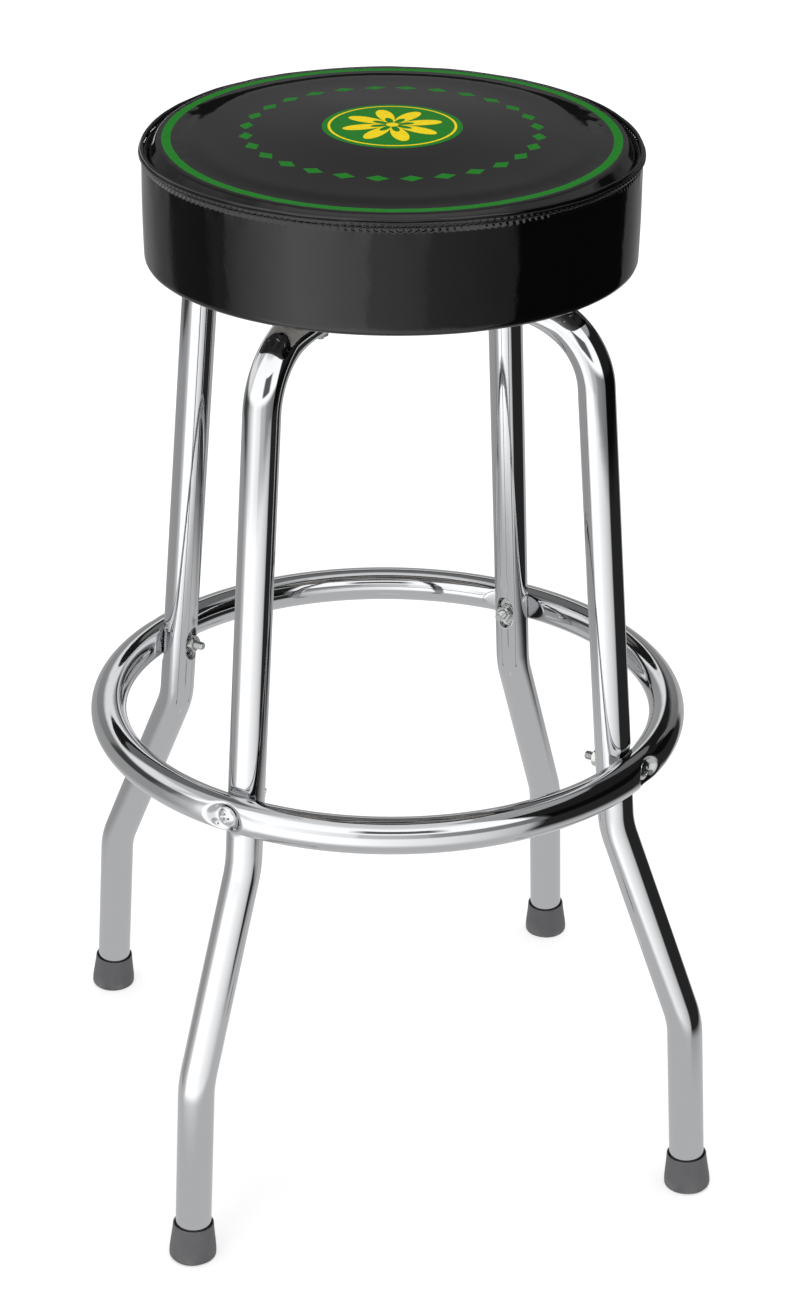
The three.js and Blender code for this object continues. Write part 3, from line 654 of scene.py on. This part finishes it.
def split_washer(inner, outer, thickness):
    """A spring washer from height nought up: a square wire carried almost once round, rising to its end."""
    angle = np.linspace(math.radians(3), math.radians(354), 90)[:, None]
    rise = 0.35 * (angle / (2 * math.pi) - 0.5)
    middle, half = (inner + outer) / 2, (outer - inner) / 2
    corner = once_round(20)
    side, up = [np.sign(wave) * np.abs(wave) ** 0.35 for wave in (np.cos(corner), np.sin(corner))]
    radius, level = middle + half * side, thickness / 2 + (thickness / 2 - 0.18) * up + rise
    return capped_tube(about_axis(radius, angle, level))


def along_axis(shell, axis, place, degrees):
    """Moves a shell made about the upright axis: its up goes along axis, then all of it is turned."""
    points, faces = shell
    turn = np.array(Vector((0, 0, 1)).rotation_difference(Vector(axis)).to_matrix())
    return turned(points @ turn.T + np.array(place), degrees), faces


def foot_tip_shell():
    """A rubber tip turned about the leg's foot: tapered, rounded below, with a thin open lip round the tube.
    It leans with the leg and is pressed level on the floor."""
    round_edge = np.linspace(0, math.pi / 2, 7)
    base = [(r, -1.4) for r in np.linspace(1.5, 14.8, 8)]
    base += [(15.1 + 1.6 * math.sin(a), 1.8 - 1.8 * math.cos(a)) for a in round_edge]
    side = [(16.72, 4.0), (16.6, 6.5), (16.2, 10), (15.6, 15), (15.0, 20), (14.72, 23), (14.62, 24.6)]
    lip = [(14.08 + 0.42 * math.cos(a), 26.0 + 0.42 * math.sin(a)) for a in np.linspace(0, math.pi, 7)]
    bore = [(13.55, 25.4), (13.2, 23.5), (13.0, 20), (13.0, 4.2), (12, 4.0), (1.5, 4.0)]
    profile = np.array(base + side + lip + bore)
    rows = about_axis(profile[:, :1], once_round(96), profile[:, 1:])
    points, faces = closed_tube(rows, [(0, 0, profile[0, 1]), (0, 0, profile[-1, 1])])
    lean = math.atan2(LOWER_KINK[0] - FOOT[0], LOWER_KINK[1])
    x, y, z = points.T
    out, up = spun(x, z, -lean)
    return np.stack([out + FOOT[0], y, np.maximum(up, 0.0)], -1), faces


# ---- seat

def added_up(slope, radius):
    """Height over the rim of a section whose slope is given: the slope is added up from the rim inwards."""
    fine = np.arange(0, CROWN_EDGE + 0.05, 0.1)
    fall = np.concatenate([[0], np.cumsum(slope(fine[:-1] + 0.05) * 0.1)])
    return fall[-1] - np.interp(radius, fine, fall)


def padding_slope(radius):
    """How steeply the padding falls: gently half way out, most in a shallow dip just inside the printed stripe,
    and level below the stripe."""
    even = 0.075 * smooth_step(radius, 0.0, 78.0) * (1 - smooth_step(radius, 80.0, 150.0))
    return even + 0.125 * np.exp(-(((radius - 137.2) / 6.6) ** 2))


def wall_slope(radius):
    """The edge: a tight corner outside the stripe, and from there a straight slanting wall down to the seam."""
    return np.tan(math.radians(52) * smooth_step(radius, 155.0, 158.8))


def crown_rows(sink=0.0):
    """The top's section from middle to rim: radius, height of the padding over the rim, and the share of the
    wall's rise that is reached. Points are sunk along the surface's own normal."""
    radius = np.concatenate([np.linspace(3, 150, 74), np.linspace(150.6, CROWN_EDGE, 34)])
    tilt = np.arctan(padding_slope(radius) + wall_slope(radius))
    padding = added_up(padding_slope, radius) - sink * np.cos(tilt)
    share = added_up(wall_slope, radius) / added_up(wall_slope, 0.0)
    return (radius - sink * np.sin(tilt))[:, None], padding[:, None], share[:, None]


def rim_lift(angle):
    """How much the fuller pad draws the seam up: nothing along the front half, and more and more from the sides
    to the back."""
    back = np.cos(angle - FULLER_SIDE)
    return 4.2 * (back + np.sqrt(back ** 2 + 0.04))


def crown_surface(angle, sink=0.0, out=0.0, up=0.0):
    """The crown carried round: it starts at the seam's height, and its middle rises evenly to the back."""
    radius, padding, share = crown_rows(sink)
    rise = EDGE_RISE + LEAN * radius * np.cos(angle - FULLER_SIDE)
    reach = radius + out
    return about_axis(reach, angle, RIM_HEIGHT + padding + share * rise + (1 - share) * rim_lift(angle) + up)


def seat_top_shell():
    """The top cover: the crown, ending in a narrow valley inside the seam. The padding is very slightly uneven,
    and shallow gathers draw its edge in and out. The lower side is the same surface, sunk by the skin's
    millimetre."""
    angle = once_round(600)

    def surface(sink):
        radius = crown_rows(sink)[0]
        edge = smooth_step(radius, 157.0, 163.6)
        drawn = edge * (0.07 * ripple(angle, GATHER_WAVES, 3) + 0.02 * ripple(angle, (71, 83, 97), 4))
        shoulder = smooth_step(radius, 120.0, 157.0) * (1 - edge)
        x, y = radius * np.cos(angle), radius * np.sin(angle)
        uneven = 0.12 * np.sin(x / 31 + 0.6) * np.sin(y / 27 + 1.1) + 0.05 * np.sin(x / 13 + y / 17)
        gathered = 0.06 * shoulder * ripple(angle, GATHER_WAVES, 3)
        return crown_surface(angle, sink, drawn, uneven * (1 - edge) + gathered)

    def valley(radii, level):
        reach = np.array(radii)[:, None] + 0.25 * ripple(angle, GATHER_WAVES, 3)
        return about_axis(reach, angle, level + rim_lift(angle))

    upper = np.vstack([surface(0.0), valley((164.25, 164.7, 165.4), RIM_HEIGHT - 0.35)])
    lower = np.vstack([valley((165.4, 163.6), RIM_HEIGHT - 1.35), surface(1.0)[::-4]])
    return capped_tube(np.vstack([upper, lower]))


def seam_shell():
    """The rolled seam: a section like a figure of eight, from two touching folds, carried round the rim.
    It wanders a little, and the lower fold is nipped at each stitch."""
    angle, around = once_round(STITCHES * 6)[:, None], once_round(32)
    apart, fold = 1.34, 1.36
    nip = 0.16 * np.cos(angle * STITCHES) * (np.cos(around) < -0.2)
    size = fold * (1 + 0.04 * ripple(angle, GATHER_WAVES, 9))
    waist = np.sqrt(np.clip(size ** 2 - (apart * np.sin(around)) ** 2, 0.05, None))
    reach = apart * np.abs(np.cos(around)) + waist + nip
    inward, upward = spun(np.cos(around), np.sin(around), math.radians(68))
    out = SEAT_RADIUS + 0.1 + 0.12 * ripple(angle, SEAM_WAVES, 5) - reach * inward
    up = RIM_HEIGHT + 1.0 + rim_lift(angle) + 0.18 * ripple(angle, SEAM_WAVES, 8) + reach * upward
    return closed_tube(about_axis(out, angle, up))


def band_surface(level, angle):
    """How far out the side band lies at a height: a gentle bulge, a stitched groove under the seam with uneven
    puckers at the needle holes, and one upright joint at the back."""
    bulge = 0.6 * (1 - ((level - 706) / 37) ** 2)
    below = level - STITCH_LEVEL
    groove = 0.75 * np.exp(-((below / 1.5) ** 2))
    strength = 0.62 + 0.3 * ripple(angle, (5, 9, 14), 15)
    crumple = np.cos(angle * STITCHES + math.pi + 0.35 * below) * np.exp(-(((below + 0.7) / 1.7) ** 2))
    tuck = 2.2 * smooth_step(level, STITCH_LEVEL + 1.2, STITCH_LEVEL + 4.0)
    gathers = 0.16 * ripple(angle, GATHER_WAVES, 4) * smooth_step(level, STITCH_LEVEL - 15, STITCH_LEVEL - 2)
    waves = 0.03 * np.sin(level / 7 + 9 * angle) * np.sin(level / 19 + 1)
    waves = waves + 0.075 * ripple(angle, (13, 19, 26, 34), 6)
    joint = (angle - math.pi / 2) * SEAT_RADIUS
    seam = -0.7 * np.exp(-((joint / 0.7) ** 2)) + 0.25 * np.exp(-(((np.abs(joint) - 2.2) / 1.3) ** 2))
    puckers = 0.38 * strength * (0.6 + crumple)
    return SEAT_RADIUS + bulge - groove - puckers - tuck + gathers + waves + seam


def seat_band_shell():
    """The side band and its turned edge: down the outside, round the bottom corner and in under the board in
    small pleats, then back along the inside of the skin."""
    columns = STITCHES * 7
    angle = once_round(columns)
    corner_start, drop = SEAT_BOTTOM + 3.0, 4.1
    levels = np.concatenate([np.linspace(742.4, 733.5, 22), np.linspace(732.4, corner_start, 28)])[:, None]
    outside = band_surface(levels, angle)
    corner = np.linspace(0, math.pi / 2, 9)[1:, None]
    corner_out = outside[-1:] - 3.9 * (1 - np.cos(corner))
    corner_up = corner_start - drop * np.sin(corner)
    fold = np.linspace(0, 1, 12)[1:, None]
    flap_edge = 139.0 + 0.8 * ripple(angle, (41, 57, 23), 12)
    flap_out = corner_out[-1:] + (flap_edge - corner_out[-1:]) * fold
    pleat = 0.32 * np.abs(ripple(angle, (44, 61, 75), 7)) * smooth_step(fold, 0.05, 0.7)
    flap_up = SEAT_BOTTOM - (drop - 3.0) * (1 - smooth_step(fold, 0.1, 0.6)) - pleat + 0 * flap_out
    out = np.vstack([outside, corner_out, flap_out])
    up = np.vstack([levels + 0 * outside, corner_up + 0 * corner_out, flap_up])
    inner_out, inner_up = np.full((1, columns), 163.0), np.full((1, columns), SEAT_BOTTOM + 1.1)
    back_out = [out[-1:], out[-4:-2], inner_out, out[[24]] - 1.0, out[[4]] - 1.0, out[:1] - 0.8]
    back_up = [up[-1:] + 1.0, up[-4:-2] + 1.0, inner_up, up[[24]], up[[4]], up[:1]]
    out, up = np.vstack([out] + back_out), np.vstack([up] + back_up)
    up = up + rim_lift(angle) * smooth_step(up, SEAT_BOTTOM + 7, STITCH_LEVEL)
    return closed_tube(about_axis(out, angle, up))


def stitch_shells():
    """Thread stitches round the band, each a short arc that dips into a needle hole at both ends. They are worked
    out in one grid of stitch, place along it and place round the thread."""
    pitch = 2 * math.pi / STITCHES
    draw = np.random.default_rng(21)
    lengthwise = np.linspace(-1, 1, 9)[None, :, None]
    round_thread = once_round(6)
    middle = np.arange(STITCHES)[:, None, None] * pitch
    tilt = 0.3 + 0.14 * draw.standard_normal((STITCHES, 1, 1))
    angle = middle + pitch * 0.46 * lengthwise
    rise = 0.55 * (1 - lengthwise ** 6) - 0.35
    radius = 0.42 * (1 - 0.3 * lengthwise ** 8)
    out = band_surface(STITCH_LEVEL, middle) + rise
    up = STITCH_LEVEL + rim_lift(angle) + tilt * lengthwise
    points = about_axis(out + radius * np.cos(round_thread), angle, up + radius * np.sin(round_thread))
    return [capped_tube(stitch) for stitch in points]


def foam_shell():
    """The foam pad: the crown sunk below the vinyl, and upright sides down to the board."""
    angle = once_round(180)
    top = crown_surface(angle, 1.8)
    side = [(162.8, 740.0), (163.6, 739.0), (164.5, 737.0), (165.0, 733.0), (165.4, 707.0), (165.4, 684.6)]
    rest = np.array(side + [(r, 683.3) for r in (165.2, 150, 100, 50, 4)])
    reach, height = rest[:, :1], rest[:, 1:]
    height = height + rim_lift(angle) * smooth_step(height, SEAT_BOTTOM + 7, STITCH_LEVEL)
    return capped_tube(np.vstack([top, about_axis(reach, angle, height)]))


def staple_shells():
    """Staples that hold the turned edge to the board: flat wire bridges with rounded shoulders, a bit askew."""
    draw = np.random.default_rng(33)
    shells = []
    path = np.array([(-5.0, 0.6), (-4.9, -0.25), (-4.4, -0.75), (4.4, -0.75), (4.9, -0.25), (5.0, 0.6)])
    along, up = path[:, :1], path[:, 1:]
    corner = once_round(8) + math.pi / 8
    side, lift = 0.55 * np.cos(corner), 0.26 * np.sin(corner)
    for number in range(32):
        angle = number * 11.25 + draw.uniform(-1.5, 1.5)
        lean = math.radians(draw.uniform(-18, 18))
        y, x = spun(along, side, lean)
        points = np.stack([x + 147.5, y, SEAT_BOTTOM - 0.1 + up + lift], -1)
        shells.append(capped_tube(turned(points, angle)))
    return shells


# ---- studio

def studio_sheet(name, points, faces, material_name):
    """A sheet of the studio from points in metres: the object, and the shader of its own new material."""
    mesh = bpy.data.meshes.new(name)
    mesh.from_pydata(points.tolist(), [], faces.tolist())
    shader = Shader(bpy.data.materials.new(material_name))
    mesh.materials.append(shader.owner)
    return add_object(name, mesh), shader


def seen_rays(shader):
    """One for camera, glossy and transmission rays, nought for the rays that light things."""
    path = shader.node("LightPath", output=None)
    return shader.highest(path["Is Camera Ray"], path["Is Glossy Ray"], path["Is Transmission Ray"])


def lay_floor():
    """A wide white floor that keeps the stool's shadow. The rays that are seen find it a little lighter than it
    is lit, so that it meets the white background."""
    corners = 12.0 * np.array([(-1, -1, 0), (1, -1, 0), (1, 1, 0), (-1, 1, 0)])
    floor, shader = studio_sheet("floor", corners, np.array([(0, 1, 2, 3)]), "floor_white")
    lit = shader.node("BsdfDiffuse", {"Color": (0.72, 0.72, 0.72, 1)})
    lift = shader.times(seen_rays(shader), shader.step(shader.length(shader.place), 0.3, 3.0, 0.54, 0.64))
    glow = shader.node("Emission", {"Color": (1, 1, 1, 1), "Strength": lift})
    shader.show(shader.node("AddShader", {0: lit, 1: glow}))


def hang_cards():
    """The studio's cards and soft boxes, as one round wall with a lid and a base that only glossy rays see.

    Its light is a rule on the height in metres and the angle from the camera's side in degrees, rising to the
    right. The low, middle and high zones light the legs, the seat's band and the surfaces that look up.
    """
    columns, wall = 96, 750.0
    levels = np.array([1.0, 500.0, 1000.0, 2000.0, 3000.0])[:, None]
    points = about_axis(wall, once_round(columns), levels)
    middle = np.array([0.02, 0.02, 1])
    grid = np.vstack([points[:1] * middle, points, points[-1:] * middle])
    faces = grid_faces(len(grid), columns)
    cards, shader = studio_sheet("studio_cards", grid.reshape(-1, 3) * METRE, faces, "studio_cards")
    for kind in ("camera", "diffuse", "transmission", "volume_scatter", "shadow"):
        setattr(cards, "visible_" + kind, False)
    from_camera = (0, 0, -math.atan2(CAMERA_PLACE[1], CAMERA_PLACE[0]))
    x, y, z = shader.split(shader.node("Mapping", {"Vector": shader.place, "Rotation": from_camera}))
    around = shader.math("MULTIPLY_ADD", shader.math("ARCTAN2", y, x), 1 / (2 * math.pi), 0.5)

    def by_angle(*stops):
        """Light read off stops of degrees and light. A ramp holds half of it, as its colours end at one."""
        return shader.ramp(around, [((degrees + 180) / 360, light / 2) for degrees, light in stops])

    def by_height(*stops):
        return shader.ramp(shader.math("DIVIDE", z, 3.0), [(level / 3.0, light / 2) for level, light in stops])

    def span(start, full, last, end):
        """One between two angles, fading to nought on both sides."""
        return by_angle((start, 0), (full, 2), (last, 2), (end, 0))

    low = by_angle((-180, 0.46), (-78, 0.46), (-60, 0.9), (-53, 1.8), (-16, 1.8), (0, 1.5), (19, 1.25), (32, 1.05),
                   (45, 0.75), (50, 0.03), (125, 0.03), (130, 0.55), (180, 0.46))
    off_axis = shader.length(shader.node("CombineXYZ", {0: x, 1: y}))
    low = shader.mix(shader.step(off_axis, 0.4, 0.75), 0.35, low)

    middle_zone = by_angle(
        (-180, 0.44), (-141, 0.36), (-117, 0.3), (-111, 0.28), (-109.5, 0.17), (-91, 0.2), (-74, 0.19),
        (-72.5, 0.4), (-52, 1.15), (-38, 1.7), (-17, 1.35), (-10, 1.25), (-8.5, 0.85), (4.5, 0.75), (13, 0.62),
        (14.5, 0.45), (25, 0.38), (51, 0.24), (52.5, 0.005), (121, 0.005), (122.5, 0.2), (135, 0.25), (180, 0.44))

    beside_lens = shader.times(span(-14, -7, 16, 23), shader.within(z, 0.74, 1.02, 0.02))
    front = shader.mix(beside_lens, by_height((0.57, 1.75), (1.45, 1.6), (1.7, 1.1), (3.0, 1.0)), 0.08)

    horizon = by_angle((-180, 1.15), (-112, 1.15), (-95, 0.3), (128, 0.3), (131, 0.02), (161, 0.02), (165, 1.15),
                       (180, 1.15))
    side = [(162.2, 1.69), (162.4, 1.86), (163.2, 1.93), (166.3, 1.93), (167, 1.83), (168, 1.75), (170, 1.72),
            (180, 1.71)]
    black_card_top = by_angle(*[(-degrees, level) for degrees, level in reversed(side)], *side)
    card_edges = [shader.math(way, black_card_top, 0.006) for way in ("SUBTRACT", "ADD")]
    sky = by_height((0.6, 0.2), (1.75, 0.21), (2.2, 0.8), (3.0, 0.95))
    behind = shader.mix(shader.step(z, *card_edges), 0.0075, sky)
    behind = shader.mix(shader.step(z, 0.738, 0.746), horizon, behind)

    right = by_height((0.6, 0.02), (1.2, 0.02), (1.25, 0.5), (3.0, 0.55))
    high = shader.mix(span(-86, -70, 75, 100), behind, front)
    high = shader.mix(span(48, 52, 124, 128), high, right)
    left_card = shader.times(span(-124, -114, -84, -76), shader.step(z, 0.58, 0.62))
    high = shader.mix(left_card, high, by_height((0.96, 1.2), (1.06, 0.75), (3.0, 0.75)))

    level = shader.mix(shader.step(z, 0.6, 0.7), middle_zone, high)
    level = shader.mix(shader.step(z, 0.35, 0.43), low, level)
    left_shade = shader.times(span(-112, -106, -84, -79), shader.within(z, 0.395, 0.595, 0.02))
    level = shader.mix(left_shade, level, 0.04)
    lid_light = shader.mix(shader.step(z, 2.995, 2.999), level, 0.5)
    shader.show(shader.node("Emission", {"Color": lid_light, "Strength": 2.0}))


def light_room():
    """White world for the rays that are seen, an even pale grey for those that light, and two soft lamps."""
    world = bpy.data.worlds.new("studio")
    bpy.context.scene.world = world
    shader = Shader(world)
    strength = shader.mix(seen_rays(shader), 0.6, 1.0)
    glow = shader.node("Background", {"Color": (1, 1, 1, 1), "Strength": strength})
    shader.show(glow, "World Output")
    target = Vector((0, 0, 0.4))
    lamps = [("overhead", (0.2, 0.3, 4.2), 2.4, 45), ("front_left", (-1.7, -1.7, 1.5), 1.1, 9)]
    for name, place, size, power in lamps:
        lamp = bpy.data.lights.new(name, "AREA")
        lamp.size, lamp.energy = size, power
        holder = add_object(name, lamp)
        aim = (Vector(place) - target).to_track_quat("Z", "Y").to_matrix().to_4x4()
        holder.matrix_world = Matrix.Translation(place) @ aim
        holder.visible_glossy = False


# ---- assembly

aim_camera()

plate = chrome_plate()
screw_plate = chrome_plate("screw_plate", (0.6, 0.605, 0.61), 0.09)
zinc = zinc_plate()
steel = pressed_steel()
vinyl = black_vinyl()
rubber = tip_rubber()

for name, lift, degrees, solid in (("under", -1, 45, "lower"), ("over", 1, 135, "upper")):
    hoop, hoop_faces = hoop_shell(lift)
    make_piece(f"leg_hoop_{name}", [(turned(hoop, degrees), hoop_faces)], plate, "base",
               [f"leg_hoop_{solid}"])
make_piece("foot_ring_tube", [ring_shell()], plate, "base", ["foot_ring"])

quarter_inch = {"radius": 3.175, "head_radius": 7.0, "head_height": 3.6, "pitch": 1.27}
ring_bolt = bolt_shells(length=44.45, threaded=20.0, **quarter_inch)
frame_bolt = bolt_shells(length=25.4, threaded=12.0, **quarter_inch)
seat_screw = bolt_shells(radius=2.4, head_radius=4.7, head_height=2.8, length=12.7, threaded=10.0, pitch=1.6)
nut_height, washer_height = 5.6, 1.6
hexagon = nut_shell(11.1, nut_height, 3.25)
spring = split_washer(3.5, 6.2, washer_height)
washer_face = NUT_SEAT - GAP
nut_face = washer_face - washer_height - GAP
outwards, upwards, downwards = (1, 0, 0), (0, 0, 1), (0, 0, -1)

# Name, shells, their upward way, place out and up, material, body, finish, solid, and the sharpest smooth edge
fasteners = [
    ("bolt", ring_bolt, outwards, HEAD_SEAT + GAP, RING_HEIGHT, screw_plate, "base", "chrome_screw",
     "ring_bolt", 40),
    ("spring_washer", [spring], outwards, washer_face - washer_height, RING_HEIGHT, zinc, "base", "zinc_steel",
     "ring_lock_washer", 50),
    ("hexagon_nut", [hexagon], outwards, nut_face - nut_height, RING_HEIGHT, zinc, "base", "zinc_steel",
     "ring_nut", 25),
    ("under_bolt", frame_bolt, upwards, 90, 660.1, zinc, "base", "zinc_steel", "frame_bolt", 40),
    ("under_nut", [hexagon], upwards, 90, 637.1, zinc, "base", "zinc_steel", "frame_nut", 25),
    ("board_screw", seat_screw, downwards, 74, 667.2, zinc, "seat", "zinc_steel", "seat_screw", 40),
]
tip, tip_faces = foot_tip_shell()
for corner, degrees in CORNERS.items():
    for name, shells, way, out, up, material, body, finish, solid, sharp in fasteners:
        placed = [along_axis(shell, way, (out, 0, up), degrees) for shell in shells]
        make_piece(f"{name}_{corner}", placed, material, body, [f"{solid}_{corner}"], sharp)
    make_piece(f"rubber_tip_{corner}", [(turned(tip, degrees), tip_faces)],
               rubber, "base", [f"foot_tip_{corner}"])

make_piece("cover_top", [seat_top_shell()], printed_vinyl(), "seat", ["seat_top_cover"])
make_piece("cover_band", [seat_band_shell()], vinyl, "seat", ["seat_side_band"])
make_piece("cover_seam", [seam_shell()], vinyl, "seat", ["seat_welt"])
make_piece("cover_stitches", stitch_shells(), black_thread(), "seat")
make_piece("cover_staples", staple_shells(), zinc, "seat")
pad = make_piece("seat_pad", [foam_shell()], pad_foam(), "seat", ["seat_foam"])

dress = {"seat_board": plywood_board(), "swivel_lower_plate": steel, "swivel_upper_plate": steel,
         "swivel_rivet": zinc, "ball_cage": zinc, "race_ball": bearing_steel()}
for node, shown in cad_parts.items():
    finish = dress.get(node.rstrip("_0123456789"))
    if finish:
        shown.data.materials.clear()
        shown.data.materials.append(finish)

lay_floor()
hang_cards()
light_room()
bpy.context.scene.view_settings.view_transform = "Standard"
